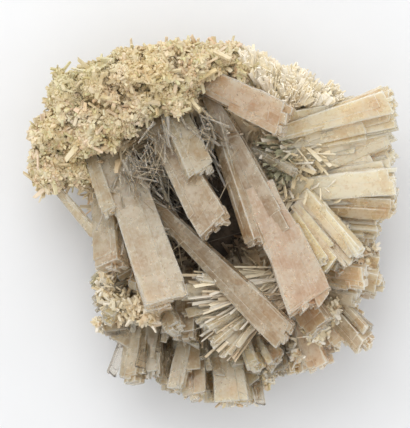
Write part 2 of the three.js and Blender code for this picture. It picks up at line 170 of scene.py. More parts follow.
# Stained places in plan: x, y, radius, colour and strength
STAINS = [
    (52, 41, 5, "rust", 0.35),
    (-19, -24, 6, "rust", 0.5),
    (-32, -12, 4, "rust", 0.6),
    (11, 6, 8, "peach", 0.7),
    (13, -3, 4, "rust", 0.4),
    (29, -26, 5, "rust", 0.35),
    (0, -1, 6, "rust", 0.25),
    (-26, -26, 8, "cream", 0.6),
    (-50, 48, 6, "olive", 0.6),
    (-37, 51, 6, "olive", 0.6),
    (-20, 50, 8, "yellow", 0.5),
    (-32, 44, 7, "rust", 0.3),
    (22, 8, 5, "smoke", 0.5),
    (26, 34, 5, "tan", 0.5),
    (24, -28, 7, "rose", 0.6),
    (60, 8, 6, "tan", 0.4),
]

# Granular lumps: x, y, z and radius
KNOBS = [
    (-34, -12, 24, 5), (-35, -20, 24, 5), (-31, -27, 27, 5.5), (-24, -27, 32, 5), (-20, -29, 37, 4),
    (-37, -33, 23, 3), (5, -56, 18, 4.5), (12, -56, 16, 4.5), (-3, -54, 16, 4), (17, -51, 18, 4),
    (9, -57, 12, 4), (-10, -51, 14, 3.5), (22, -46, 20, 4), (34, -34, 28, 5), (40, -28, 26, 5),
    (30, -42, 22, 5), (44, -22, 24, 4), (38, -39, 20, 4.5), (52, -8, 16, 4), (50, -14, 18, 4),
]

# Sheaves of thin plates: count, middle, jitter, turns and lifts in degrees, lengths, widths and
# thicknesses
GREEN_SHEAVES = [
    (420, (30, 26, 21), (2, 2, 1.5), (140, 235), (5, 50), (7, 15), (0.4, 1.7), (0.15, 0.4)),
    (300, (21, 24, 18), (3, 4, 1.5), (90, 300), (10, 60), (5, 11), (0.4, 1.7), (0.15, 0.4)),
    (260, (28, 18, 20), (2, 3, 1.5), (130, 240), (5, 50), (6, 12), (0.4, 1.7), (0.15, 0.4)),
]
PALE_SHEAVES = [
    (260, (29, 5, 25), (4, 5, 2), (190, 420), (5, 65), (5, 11), (0.4, 1.6), (0.2, 0.5)),
    (200, (30, 22, 25), (3, 5, 2), (-60, 80), (5, 50), (5, 11), (0.4, 1.6), (0.2, 0.5)),
    (230, (20, -21, 31), (3, 3, 1), (172, 238), (8, 24), (8, 28), (0.3, 1.2), (0.15, 0.3)),
]

# The feathery end of the crust: where it starts, the middle its plates point away from, its plates
ROSETTE_FROM = (13, 27, 14)
ROSETTE_MIDDLE = (22, 28, 18)
ROSETTE_PLATES = 5200
ROSETTE_DRAWS = 90000

# The crust's grains on each side of a line in plan, of the places drawn over all of it
CRUST_SPLIT = -30
CRUST_DRAWS = 36000
CRUST_GRAINS = 16000
LARGE_GRAINS = 0.012
NEEDLES = 1300
SPLINTERS = 420
STUBS = 260
BED_CRYSTALS = 5200

# A crystal's eight corners: side across, side outward, and where the bevel takes some off
SECTION = np.array([
    (-1, -1, 0, 1), (-1, 1, 0, 1), (-1, 1, 1, 0), (1, 1, 1, 0),
    (1, 1, 0, 1), (1, -1, 0, 1), (1, -1, 1, 0), (-1, -1, 1, 0),
])
BEVEL = 0.3
# A simpler section, for small crystals
DIAMOND = np.array([(-0.5, -0.3), (-0.36, 0.5), (0.5, 0.3), (0.36, -0.5)])


def chance(number):
    """A repeatable number from 0 to 1 for each whole number."""
    scattered = math.sin(number * 12.9898 + 4.1) * 43758.5453
    return scattered - math.floor(scattered)


def between(low, high, share):
    return low + (high - low) * share


def radius_at(radii, angle):
    """A radius at an angle, smoothly between the ones stated every 30 degrees."""
    place = (angle / FULL_TURN) % 1 * len(radii)
    index = int(place)
    share = place - index
    smooth = share * share * (3 - 2 * share)
    return between(radii[index % len(radii)], radii[(index + 1) % len(radii)], smooth)


def plate_fan():
    """The plates of the feathery fan, as in the solids."""
    x, y, z = PLATE_FAN["from"]
    plates = []
    for i in range(PLATE_FAN["count"]):
        share = i / (PLATE_FAN["count"] - 1)
        angle = math.radians(between(PLATE_FAN["first"], PLATE_FAN["last"], share))
        reach = PLATE_FAN["reach"] * between(0.8, 1, chance(i + 50))
        height = PLATE_FAN["tip"] - 3 * chance(i + 70)
        tip = (x + math.cos(angle) * reach, y + math.sin(angle) * reach, height)
        roll = between(20, 60, chance(i + 90))
        plates.append(((x, y, z), tip, (3.2, 3.8), (1.6, 1.8), roll, 0.1, "glass"))
    return plates


def side_tier(count, start, height, rise, inset, size, seed):
    """A tier of prisms round the sides, as in the solids."""
    tier = []
    for i in range(count):
        angle = (i + 0.7 * chance(seed + i)) / count * FULL_TURN
        if math.radians(78) < angle < math.radians(172):
            continue
        reach = radius_at(OUTLINE, angle) - inset - 5 * chance(seed + i + 100)
        turn = angle + 0.16 * (chance(seed + i + 200) - 0.5)
        width = size * between(0.75, 1.25, chance(seed + i + 300))
        low = height + 3 * (chance(seed + i + 400) - 0.5)
        root = (math.cos(angle) * start, math.sin(angle) * start, low)
        tip_height = max(low + rise, 2.5 + width / 2)
        tip = (math.cos(turn) * reach, math.sin(turn) * reach, tip_height)
        colour = ("tan", "smoke", "cream", "milk", "peach")[i % 5]
        roll = 60 * chance(seed + i + 500)
        tier.append((root, tip, (width, width), (0.85 * width, 0.85 * width), roll, 0.1, colour))
    return tier


SIDE_PRISMS = side_tier(19, 32, 10, -4, 9, 6, 11) + side_tier(17, 34, 18, 1, 5, 6.5, 37)


def frame_of(root, tip, roll):
    """A crystal's length, and its axis, across and outward directions."""
    root, tip = np.array(root, float), np.array(tip, float)
    length = np.linalg.norm(tip - root)
    axis = (tip - root) / length
    across = np.cross(axis, (0.001, 0.002, 1))
    across /= np.linalg.norm(across)
    outward = np.cross(across, axis)
    turn = math.radians(roll)
    across, outward = (
        across * math.cos(turn) - outward * math.sin(turn),
        outward * math.cos(turn) + across * math.sin(turn),
    )
    return length, axis, across, outward


def inside_box(root, tip):
    """The tip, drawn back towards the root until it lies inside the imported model's box."""
    root, tip = np.array(root, float), np.array(tip, float)
    way = tip - root
    share = 1.0
    for axis in range(3):
        if tip[axis] > HIGH[axis] - 1 and way[axis] > 0:
            share = min(share, (HIGH[axis] - 1 - root[axis]) / way[axis])
        if tip[axis] < LOW[axis] + 1 and way[axis] < 0:
            share = min(share, (LOW[axis] + 1 - root[axis]) / way[axis])
    return root + way * max(share, 0.3)


def stained(tints, places):
    """Rust and yellow stains where the specimen shows them, over given tints."""
    tints = np.array(np.broadcast_to(tints, (len(places), 3)))
    for x, y, radius, colour, amount in STAINS:
        near = np.exp(-(((places[:, 0] - x) ** 2 + (places[:, 1] - y) ** 2) / radius**2))
        share = (near * amount)[:, None]
        tints = tints * (1 - share) + np.array(PALETTE[colour]) * share
    return tints


def upright_end(axis, across, outward):
    """How far an end moves along the axis, across and outward, to be upright."""
    flat = axis * (1, 1, 0)
    steep = np.array([across @ flat, outward @ flat]) / max(axis @ flat, 0.1)
    return np.clip(-steep, -0.7, 0.7)


def prism(crystal, rng, stations=4):
    """One crystal's vertices, faces, corner colours and grain, with narrow bevels painted pale as
    highlights.
    """
    root, tip, wide, thick, roll, slant, colour = crystal
    length, axis, across, outward = frame_of(root, tip, roll)
    bevel = min(BEVEL, 0.16 * min(*wide, *thick), 0.3 * length)
    shares = np.append(np.linspace(0, 1 - bevel / length, stations), 1)
    half_u = between(wide[0], wide[1], shares) / 2 * rng.normal(1, 0.035, len(shares))
    half_v = between(thick[0], thick[1], shares) / 2 * rng.normal(1, 0.01, len(shares))
    half_u[-1] = half_u[-2] - bevel
    half_v[-1] = half_v[-2] - bevel
    side_u, side_v, less_u, less_v = SECTION.T
    u = side_u * (half_u[:, None] - less_u * bevel)
    v = side_v * (half_v[:, None] - less_v * bevel)
    u = u + rng.normal(0, 0.12) * v + rng.normal(0, 0.012 * wide[1], (len(shares), 1))
    ending = np.clip((shares - 0.5) * 2, 0, 1)[:, None]
    lean_u, lean_v = upright_end(axis, across, outward) * rng.uniform(0.3, 1)
    z = shares[:, None] * length + ending * ((slant + lean_u) * u + lean_v * v)
    local = np.stack([u, v, z], axis=-1).reshape(-1, 3)
    at = np.array(root) + local[:, :1] * across + local[:, 1:2] * outward + local[:, 2:] * axis
    at[:, 2] = np.clip(at[:, 2], 0.4, HIGH[2] + 1)
    corners = len(SECTION)
    faces, pale = [], []
    for level in range(len(shares) - 1):
        for c in range(corners):
            n = (c + 1) % corners
            low, high = level * corners, (level + 1) * corners
            faces.append([low + c, low + n, high + n, high + c])
            # Painted highlight: bevel faces and the band before the tip are marked to turn near-white
            pale += [0.7 if c % 2 or level == len(shares) - 2 else 0] * 4
    faces.append([corners - 1 - c for c in range(corners)])
    faces.append([len(local) - corners + c for c in range(corners)])
    # The tip's end face gets a weaker painted highlight
    pale += [0] * corners + [0.25] * corners
    own, other, dark = (np.array(PALETTE[one]) for one in (colour, "ivory", "tan"))
    second = other if rng.random() < 0.6 else dark
    tint = between(own, second, rng.uniform(0, 0.25)) * rng.normal(1, 0.03)
    ends = np.repeat(ending, corners)[:, None] * rng.uniform(0, 0.3)
    tints = stained(tint * (1 - ends) + np.array(PALETTE["peach"]) * ends, at)
    run = np.array([corner for face in faces for corner in face])
    # Painted highlight: corners are taken towards the near-white edge colour by their share
    tints = between(tints[run], np.array(PALETTE["edge"]), np.array(pale)[:, None])
    return at, faces, tints, local + rng.uniform(0, 200, 3)


def plate_on(crystal, rng, low, high, lift, face):
    """A plate that takes a crystal's width from low to high and stands a little above its face."""
    root, tip, wide, thick, roll, slant, colour = crystal
    length, axis, across, outward = frame_of(root, tip, roll)
    start, end = rng.uniform(0, 0.5), rng.uniform(0.84, 1.02)
    share, side = high - low, (low + high) / 2
    ends = []
    for along in (start, end):
        plate = 0.45 * between(*thick, along)
        away = side * between(*wide, along)
        up = face * (between(*thick, along) / 2 - plate / 2 + lift)
        ends.append(np.array(root) + axis * along * length + across * away + outward * up)
    width = tuple(share * between(*wide, along) for along in (start, end))
    depth = tuple(0.45 * between(*thick, along) for along in (start, end))
    return (*ends, width, depth, roll + rng.normal(0, 0.8), slant + rng.normal(0, 0.2), colour)


def plates_on(crystal, rng, count):
    """Wide parallel plates side by side on a crystal's two main faces."""
    plates = []
    for face in (1, -1):
        cuts = np.sort(rng.uniform(-0.4, 0.4, count - 1))
        for low, high in zip([-0.52, *cuts], [*cuts, 0.52]):
            plates.append(plate_on(crystal, rng, low, high, rng.uniform(0.06, 0.3), face))
    return plates


def end_crystals(crystal, rng, count):
    """Short crystals that make a crystal's end uneven."""
    root, tip, wide, thick, roll, slant, colour = crystal
    length, axis, across, outward = frame_of(root, tip, roll)
    made = []
    for _ in range(count):
        width = wide[1] * rng.uniform(0.12, 0.36)
        depth = thick[1] * rng.uniform(0.3, 0.9)
        away = across * rng.uniform(-0.5, 0.5) * (wide[1] - width)
        up = outward * rng.uniform(-0.5, 0.5) * (thick[1] - depth)
        back = rng.uniform(0.1, 0.3) * length
        end = inside_box(root, np.array(tip) + away + up + axis * rng.uniform(-1.1, 0.8))
        start = end - axis * back + across * rng.normal(0, 0.15) + outward * rng.normal(0, 0.15)
        made.append((start, end, (width, width), (depth, depth), roll + rng.normal(0, 5),
                     slant + rng.normal(0, 0.3), colour))
    return made


def companions(crystal, rng, count, spread):
    """Smaller crystals that grow beside a main one, nearly parallel to it."""
    root, tip, wide, thick, roll, _, colour = crystal
    length, axis, across, outward = frame_of(root, tip, roll)
    made = []
    for _ in range(count):
        away = rng.choice([-1, 1]) * rng.uniform(0.3, 0.8) * wide[1]
        below = rng.uniform(-0.6, 0.2) * thick[1]
        start = np.array(root) + across * away + outward * below + axis * length * rng.uniform(0, 0.25)
        way = axis + across * rng.normal(0, spread) + outward * rng.normal(0, spread)
        way /= np.linalg.norm(way)
        end = inside_box(start, start + way * length * rng.uniform(0.4, 0.86))
        width = wide[1] * rng.uniform(0.22, 0.6)
        depth = width * rng.uniform(0.4, 0.9)
        made.append((start, end, (width * 0.9, width), (depth * 0.9, depth),
                     roll + rng.normal(0, 18), rng.normal(0, 0.3), colour))
    return made


def fillers(crystals, rng, count, drop):
    """Plates in the gaps between neighbouring crystals, a little lower than both."""
    made = []
    for first, second in zip(crystals, crystals[1:]):
        for _ in range(count):
            share = rng.uniform(0.1, 0.9)
            root = between(np.array(first[0]), np.array(second[0]), share)
            tip = between(np.array(first[1]), np.array(second[1]), share)
            lower = np.array([0, 0, rng.uniform(*drop)])
            root, tip = root - lower * 0.6, tip - lower
            tip = root + (tip - root) * rng.uniform(0.7, 0.98)
            width = rng.uniform(2.2, 7)
            depth = width * rng.uniform(0.35, 0.7)
            colour = first[6] if rng.random() < 0.5 else second[6]
            made.append((root, inside_box(root, tip), (width * 0.9, width), (depth, depth),
                         rng.normal(0, 12), rng.normal(0, 0.25), colour))
    return made


def joined(name, parts):
    """One closed mesh of all the parts, by a union that keeps their colours and grain."""
    holder = bpy.data.collections.new(name + "_parts")
    bpy.context.scene.collection.children.link(holder)
    objects = []
    for at, faces, tints, grain in parts:
        mesh = bpy.data.meshes.new(name)
        mesh.from_pydata(((at + OFFSET) * MM).tolist(), [], faces)
        corners = np.array([corner for face in faces for corner in face])
        tint = mesh.attributes.new("tint", "FLOAT_COLOR", "CORNER")
        tint.data.foreach_set("color", np.column_stack([tints, np.ones(len(tints))]).ravel())
        run = mesh.attributes.new("grain", "FLOAT_VECTOR", "CORNER")
        run.data.foreach_set("vector", grain[corners].ravel())
        part = bpy.data.objects.new(name, mesh)
        objects.append(part)
    for part in objects[1:]:
        holder.objects.link(part)
    bpy.context.scene.collection.objects.link(objects[0])
    union = objects[0].modifiers.new("union", "BOOLEAN")
    union.operation = "UNION"
    union.operand_type = "COLLECTION"
    union.collection = holder
    union.solver = "MANIFOLD"
    mesh = settled_mesh(objects[0])
    for part in objects:
        spare = part.data
        bpy.data.objects.remove(part)
        bpy.data.meshes.remove(spare)
    bpy.data.collections.remove(holder)
    return mesh


def settled_mesh(thing):
    """The object's mesh with its modifiers applied."""
    return bpy.data.meshes.new_from_object(thing.evaluated_get(bpy.context.evaluated_depsgraph_get()))


def dressed(name, mesh, material, node):
    """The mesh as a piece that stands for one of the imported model's nodes."""
    mesh.materials.clear()
    mesh.materials.append(material)
    piece = bpy.data.objects.new(name, mesh)
    bpy.context.scene.collection.objects.link(piece)
    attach(piece, "root")
    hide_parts(node)
    return piece


def shortened(crystal, amount):
    """The crystal with its tip drawn back, so that its plates and small crystals make a stepped end."""
    root, tip = np.array(crystal[0], float), np.array(crystal[1], float)
    length = np.linalg.norm(tip - root)
    return (root, between(root, tip, 1 - min(amount / length, 0.2)), *crystal[2:])


def grown_group(name, crystals, seed, materials, ends, beside=0, spread=0, gaps=0, drop=(0, 0)):
    """Two pieces: the main crystals with their plates and uneven ends, and part of the smaller ones.

    The first piece has the first material. ends is the number of small crystals at each end,
    beside the number of companions of each crystal, spread how far those turn away from it, gaps
    the number of fillers between neighbours, and drop how much lower those lie.
    """
    rng = np.random.default_rng(seed)
    main, others = [], []
    for crystal in crystals:
        main.append(prism(shortened(crystal, 1.6), rng, 9))
        main += [prism(plate, rng) for plate in plates_on(crystal, rng, 2)]
        main += [prism(small, rng, 2) for small in end_crystals(crystal, rng, ends)]
        for number, small in enumerate(companions(crystal, rng, beside, spread)):
            parts = main if number % 2 else others
            parts.append(prism(small, rng))
            parts += [prism(plate, rng, 2) for plate in plates_on(small, rng, 2)]
    for number, plate in enumerate(fillers(crystals, rng, gaps, drop)):
        parts = main if number % 3 else others
        parts.append(prism(plate, rng))
        parts += [prism(small, rng, 2) for small in end_crystals(plate, rng, 2)]
    dressed(name, joined(name, main), materials[0], "crystal_cluster")
    if others:
        second = name + "_between"
        dressed(second, joined(second, others), materials[1], "crystal_cluster")


class Batch:
    """The vertices, faces and values of one mesh of many small crystals."""

    def __init__(self):
        self.vertices = []
        self.faces = []
        self.tints = []
        self.grains = []
        self.count = 0

    def add(self, vertices, faces, tint, grain):
        self.vertices.append(vertices)
        self.faces.append(np.asarray(faces) + self.count)
        self.tints.append(np.broadcast_to(tint, (len(vertices), 3)))
        self.grains.append(grain)
        self.count += len(vertices)

    def mesh(self, name):
        vertices = np.concatenate(self.vertices)
        vertices = np.clip(vertices, LOW - (1, 1, 0), HIGH + 0.6)
        faces = [face for block in self.faces for face in block.tolist()]
        mesh = bpy.data.meshes.new(name)
        mesh.from_pydata(((vertices + OFFSET) * MM).tolist(), [], faces)
        corners = np.concatenate([block.ravel() for block in self.faces])
        tint = mesh.attributes.new("tint", "FLOAT_COLOR", "CORNER")
        tints = np.concatenate(self.tints)
        tint.data.foreach_set("color", np.column_stack([tints, np.ones(len(tints))])[corners].ravel())
        grain = mesh.attributes.new("grain", "FLOAT_VECTOR", "CORNER")
        grain.data.foreach_set("vector", np.concatenate(self.grains)[corners].ravel())
        return mesh


def small_crystals(batch, roots, ways, lengths, widths, depths, tints, rng, narrow=0.55):
    """Many four-sided crystals at once, each with a narrower tip."""
    count = len(roots)
    ways = ways / np.linalg.norm(ways, axis=1, keepdims=True)
    across = np.cross(ways, rng.normal(size=(count, 3)))
    across /= np.linalg.norm(across, axis=1, keepdims=True)
    outward = np.cross(across, ways)
    along = np.array([0, 1])
    size = np.array([1, narrow])
    tilt = rng.normal(0, 0.4, count)
    u = DIAMOND[None, None, :, 0] * size[None, :, None] * widths[:, None, None]
    v = DIAMOND[None, None, :, 1] * size[None, :, None] * depths[:, None, None]
    rise = along[None, :, None] * (lengths[:, None, None] + tilt[:, None, None] * u)
    places = (
        roots[:, None, None, :]
        + u[..., None] * across[:, None, None, :]
        + v[..., None] * outward[:, None, None, :]
        + rise[..., None] * ways[:, None, None, :]
    )
    corners = len(DIAMOND)
    quads = [(3, 2, 1, 0), (4, 5, 6, 7)]
    for c in range(corners):
        n = (c + 1) % corners
        quads.append((c, n, corners + n, corners + c))
    faces = (np.arange(count)[:, None, None] * 2 * corners + np.array(quads)[None]).reshape(-1, 4)
    offset = rng.uniform(0, 200, (count, 1, 1, 3))
    grain = (np.stack([u, v, rise], axis=-1) + offset).reshape(-1, 3)
    shade = np.repeat(tints * rng.normal(1, 0.05, (count, 1)), 2 * corners, axis=0)
    batch.add(places.reshape(-1, 3), faces, shade, grain)


def spread_points(vertices, triangles, count, rng):
    """Random places on a surface, evenly by area, with their normals."""
    a, b, c = (vertices[triangles[:, n]] for n in range(3))
    cross = np.cross(b - a, c - a)
    area = np.linalg.norm(cross, axis=1)
    chosen = rng.choice(len(triangles), count, p=area / area.sum())
    p, q = rng.random((2, count, 1))
    p, q = np.where(p + q > 1, 1 - p, p), np.where(p + q > 1, 1 - q, q)
    at = a[chosen] + p * (b - a)[chosen] + q * (c - a)[chosen]
    return at, cross[chosen] / area[chosen, None]


def node_surface(node):
    """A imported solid's vertices in millimetres and its triangles."""
    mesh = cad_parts[node].data
    mesh.calc_loop_triangles()
    vertices = np.array([vertex.co for vertex in mesh.vertices]) / MM - OFFSET
    triangles = np.array([triangle.vertices for triangle in mesh.loop_triangles])
    return vertices, triangles


def picked(names, weights, count, rng):
    """count colours of the palette, drawn by weight."""
    colours = np.array([PALETTE[name] for name in names])
    return colours[rng.choice(len(names), count, p=np.array(weights) / sum(weights))]


def hollow_share(places):
    """How far a place is from the hollow's middle, in plan, as a share of its radius."""
    x = (places[:, 0] - HOLLOW["x"]) / HOLLOW["radius_x"]
    y = (places[:, 1] - HOLLOW["y"]) / HOLLOW["radius_y"]
    return np.hypot(x, y)


def mixed(nodes, links, kind, factor, a, b):
    """A colour mix node of the given kind. a and b are sockets or colours."""
    node = nodes.new("ShaderNodeMix")
    node.data_type = "RGBA"
    node.blend_type = kind
    for value, socket in ((factor, node.inputs[0]), (a, node.inputs[6]), (b, node.inputs[7])):
        if isinstance(value, bpy.types.NodeSocket):
            links.new(value, socket)
        else:
            socket.default_value = value
    return node.outputs[2]


def ranged(nodes, links, source, low, high, to_low, to_high):
    """The source's values from low to high, turned into values between two other limits."""
    node = nodes.new("ShaderNodeMapRange")
    links.new(source, node.inputs["Value"])
    for name, value in (("From Min", low), ("From Max", high), ("To Min", to_low), ("To Max", to_high)):
        node.inputs[name].default_value = value
    return node.outputs["Result"]


def noise(nodes, links, source, scale, detail=4.0, stretch=(1, 1, 1)):
    """Noise over the source's places, finer along an axis where stretch is larger."""
    mapping = nodes.new("ShaderNodeMapping")
    mapping.inputs["Scale"].default_value = stretch
    links.new(source, mapping.inputs["Vector"])
    node = nodes.new("ShaderNodeTexNoise")
    node.inputs["Scale"].default_value = scale
    node.inputs["Detail"].default_value = detail
    links.new(mapping.outputs["Vector"], node.inputs["Vector"])
    return node.outputs["Fac"]


def crystal_material(name, transmission, rough, depth, density, veil, bump, lift=0.0):
    """Crystal with its own tint, milky clouds, fine lines along its length, pale specks that are partly
    painted glints, and some absorption.

    depth is how far light scatters inside, in millimetres, density how much is absorbed, and veil
    how strong the clouds are. lift takes the tint towards white, because clear crystal shows its
    tint at every face.
    """
    material = bpy.data.materials.new(name)
    material.use_nodes = True
    nodes, links = material.node_tree.nodes, material.node_tree.links
    shader = nodes["Principled BSDF"]
    tint = nodes.new("ShaderNodeAttribute")
    tint.attribute_name = "tint"
    grain = nodes.new("ShaderNodeAttribute")
    grain.attribute_name = "grain"
    along = grain.outputs["Vector"]
    place = nodes.new("ShaderNodeTexCoord")
    clouds = noise(nodes, links, place.outputs["Object"], 190, 5)
    specks = noise(nodes, links, place.outputs["Object"], 1000, 4)
    lines = noise(nodes, links, along, 1.0, 3, (2.2, 2.2, 0.1))
    milky = ranged(nodes, links, clouds, 0.44, 0.68, 0, veil)
    colour = mixed(nodes, links, "MIX", lift, tint.outputs["Color"], WHITE)
    colour = mixed(nodes, links, "MIX", milky, colour, MILKY)
    warm = ranged(nodes, links, clouds, 0.5, 0.3, 0, veil)
    colour = mixed(nodes, links, "MULTIPLY", warm, colour, WARM)
    streaks = ranged(nodes, links, lines, 0.5, 0.75, 0, 0.6 * veil)
    colour = mixed(nodes, links, "MIX", streaks, colour, PALE)
    # Partly painted glints: fine pale specks stand for sparkle on the faces, and also mottle them
    bright = ranged(nodes, links, specks, 0.54, 0.72, 0, 0.7 * veil)
    colour = mixed(nodes, links, "MIX", bright, colour, PALE)
    dirt = ranged(nodes, links, specks, 0.46, 0.3, 0, veil)
    colour = mixed(nodes, links, "MULTIPLY", dirt, colour, DUSTY)
    links.new(colour, shader.inputs["Base Color"])
    links.new(ranged(nodes, links, clouds, 0.35, 0.65, rough, rough + 0.2), shader.inputs["Roughness"])
    shader.inputs["IOR"].default_value = 1.52
    shader.inputs["Transmission Weight"].default_value = transmission
    shader.inputs["Subsurface Weight"].default_value = 1.0 if depth else 0.0
    shader.inputs["Subsurface Radius"].default_value = (1.0, 1.0, 1.0)
    shader.inputs["Subsurface Scale"].default_value = depth * MM
    relief = nodes.new("ShaderNodeBump")
    relief.inputs["Strength"].default_value = bump
    relief.inputs["Distance"].default_value = 0.0003
    height = mixed(nodes, links, "MIX", 0.5, lines, specks)
    links.new(height, relief.inputs["Height"])
    links.new(relief.outputs["Normal"], shader.inputs["Normal"])
    if density:
        volume = nodes.new("ShaderNodeVolumeAbsorption")
        volume.inputs["Color"].default_value = (0.95, 0.82, 0.60, 1)
        volume.inputs["Density"].default_value = density
        links.new(volume.outputs["Volume"], nodes["Material Output"].inputs["Volume"])
    return material


def rock_material():
    """Dark brown rock in two shades, with grit."""
    material = bpy.data.materials.new("rock")
    material.use_nodes = True
    nodes, links = material.node_tree.nodes, material.node_tree.links
    shader = nodes["Principled BSDF"]
    place = nodes.new("ShaderNodeTexCoord")
    patches = noise(nodes, links, place.outputs["Object"], 90, 6)
    grit = noise(nodes, links, place.outputs["Object"], 900, 4)
    share = ranged(nodes, links, patches, 0.4, 0.66, 0, 1)
    colour = mixed(nodes, links, "MIX", share, (0.035, 0.026, 0.018, 1), (0.16, 0.115, 0.075, 1))
    grains = ranged(nodes, links, grit, 0.45, 0.62, 0, 0.6)
    colour = mixed(nodes, links, "MULTIPLY", grains, colour, (0.55, 0.5, 0.45, 1))
    links.new(colour, shader.inputs["Base Color"])
    links.new(ranged(nodes, links, grit, 0.3, 0.7, 0.7, 0.95), shader.inputs["Roughness"])
    relief = nodes.new("ShaderNodeBump")
    relief.inputs["Strength"].default_value = 0.6
    relief.inputs["Distance"].default_value = 0.0006
    links.new(grit, relief.inputs["Height"])
    links.new(relief.outputs["Normal"], shader.inputs["Normal"])
    return material


def floor_material():
    """White paper, a little uneven."""
    material = bpy.data.materials.new("paper")
    material.use_nodes = True
    nodes, links = material.node_tree.nodes, material.node_tree.links
    shader = nodes["Principled BSDF"]
    place = nodes.new("ShaderNodeTexCoord")
    fibres = noise(nodes, links, place.outputs["Object"], 60, 5)
    share = ranged(nodes, links, fibres, 0.3, 0.7, 0, 0.4)
    colour = mixed(nodes, links, "MIX", share, (0.80, 0.80, 0.805, 1), (0.77, 0.77, 0.77, 1))
    links.new(colour, shader.inputs["Base Color"])
    shader.inputs["Roughness"].default_value = 0.9
    return material


# Transmission, roughness, scattering depth, absorption, clouds, relief and lift
CLEAR = crystal_material("clear_gypsum", 1.0, 0.1, 0, 7.0, 0.3, 0.15, 0.7)
FROSTED = crystal_material("frosted_gypsum", 0.5, 0.14, 5, 3.0, 0.65, 0.45)
CREAMY = crystal_material("creamy_gypsum", 0.22, 0.2, 5, 0.0, 0.5, 0.45)
DRUSE = crystal_material("druse", 0.1, 0.3, 0, 0.0, 0.3, 0.15)
CRUST = crystal_material("crust", 0.0, 0.4, 0, 0.0, 0.35, 0.15)
ROCK = rock_material()


def make_crystals():
    """The main crystals, group by group, each with its seed, materials and counts."""
    creamy = (CREAMY, CREAMY)
    frosted = (FROSTED, CREAMY)
    part_clear = (FROSTED, CLEAR)
    grown_group("right_fan", RIGHT_FAN, 1, creamy,
                ends=9, beside=4, spread=0.06, gaps=22, drop=(-0.5, 1.4))
    grown_group("front_blades", FRONT_BLADES, 2, (CREAMY, FROSTED),
                ends=7, beside=4, spread=0.1, gaps=12, drop=(0, 3))
    grown_group("bridge_blades", BRIDGES, 3, frosted, ends=6)
    grown_group("left_blades", LEFT_BLADES, 5, frosted, ends=6)
    grown_group("lower_prisms", LOWER_PRISMS, 6, part_clear,
                ends=5, beside=7, spread=0.16, gaps=9, drop=(0, 6))
    grown_group("side_prisms", SIDE_PRISMS, 7, part_clear, ends=4, beside=3, spread=0.14)
    grown_group("plate_fan", plate_fan(), 8, creamy,
                ends=2, beside=4, spread=0.16, gaps=2, drop=(0, 2))


def add_sheaf(batch, rng, sheaf, names):
    """Thin plates that leave one place and spread between two turns and two lifts."""
    count, middle, jitter, turns, lifts, lengths, widths, depths = sheaf
    turn = np.radians(rng.uniform(*turns, count))
    lift = np.radians(rng.uniform(*lifts, count))
    ways = np.column_stack([np.cos(turn) * np.cos(lift), np.sin(turn) * np.cos(lift), np.sin(lift)])
    roots = np.array(middle) + rng.normal(0, 1, (count, 3)) * jitter
    colours = picked(names, [1] * len(names), count, rng)
    small_crystals(batch, roots, ways, rng.uniform(*lengths, count), rng.uniform(*widths, count),
                   rng.uniform(*depths, count), stained(colours, roots), rng, 1.1)


def make_rosette():
    """The pale feathery plates at the crust's right end."""
    rng = np.random.default_rng(52)
    batch = Batch()
    vertices, triangles = node_surface("sulfur_crust")
    at, normal = spread_points(vertices, triangles, ROSETTE_DRAWS, rng)
    keep = (at > np.array(ROSETTE_FROM)).all(axis=1)
    at, normal = at[keep][:ROSETTE_PLATES], normal[keep][:ROSETTE_PLATES]
    count = len(at)
    ways = at - np.array(ROSETTE_MIDDLE)
    ways = ways / np.linalg.norm(ways, axis=1, keepdims=True) + rng.normal(0, 0.16, (count, 3))
    colours = 1.04 * picked(["ivory", "edge"], [1, 2], count, rng)
    lengths = rng.uniform(4, 7.4, count)
    widths = rng.uniform(0.6, 2.2, count)
    depths = rng.uniform(0.25, 0.5, count)
    tints = stained(colours, at)
    small_crystals(batch, at - normal * 3.5, ways, lengths, widths, depths, tints, rng, 0.85)
    dressed("rosette", batch.mesh("rosette"), CRUST, "sulfur_crust")


def make_sheaves():
    """Greenish plates between the fan and the hollow, and pale ones at the blades' roots."""
    rng = np.random.default_rng(53)
    green, pale = Batch(), Batch()
    for sheaf in GREEN_SHEAVES:
        add_sheaf(green, rng, sheaf, ["green", "milk", "green", "edge"])
    dressed("green_sheaves", green.mesh("green_sheaves"), DRUSE, "crystal_cluster")
    for sheaf in PALE_SHEAVES[:2]:
        add_sheaf(pale, rng, sheaf, ["ivory", "cream", "edge"])
    add_sheaf(pale, rng, PALE_SHEAVES[2], ["ivory", "edge", "glass"])
    dressed("pale_sheaves", pale.mesh("pale_sheaves"), DRUSE, "crystal_cluster")


def make_stubs():
    """Short, stout crystals round the bed's outer and upper edge."""
    rng = np.random.default_rng(14)
    parts = []
    for _ in range(STUBS):
        angle = math.radians(rng.uniform(176, 432))
        edge = radius_at(BED_EDGE, angle)
        out = edge * rng.uniform(0.78, 1.02)
        height = rng.uniform(6, 27)
        root = np.array([math.cos(angle) * out, math.sin(angle) * out, height])
        way = np.array([math.cos(angle), math.sin(angle), rng.uniform(-0.2, 1.2)])
        way = way + rng.normal(0, 0.4, 3)
        way /= np.linalg.norm(way)
        width = rng.uniform(1.6, 4.2)
        end = inside_box(root, root + way * rng.uniform(3.5, 9))
        depth = width * rng.uniform(0.5, 1)
        colour = rng.choice(["cream", "milk", "tan", "peach", "ivory", "glass"])
        roll, slant = rng.uniform(0, 90), rng.normal(0, 0.3)
        crystal = (root, end, (width, width), (depth, depth), roll, slant, colour)
        parts.append(prism(crystal, rng, 2))
        parts += [prism(plate, rng, 2) for plate in plates_on(crystal, rng, 1)]
    dressed("stub_crystals", joined("stub_crystals", parts), FROSTED, "crystal_cluster")


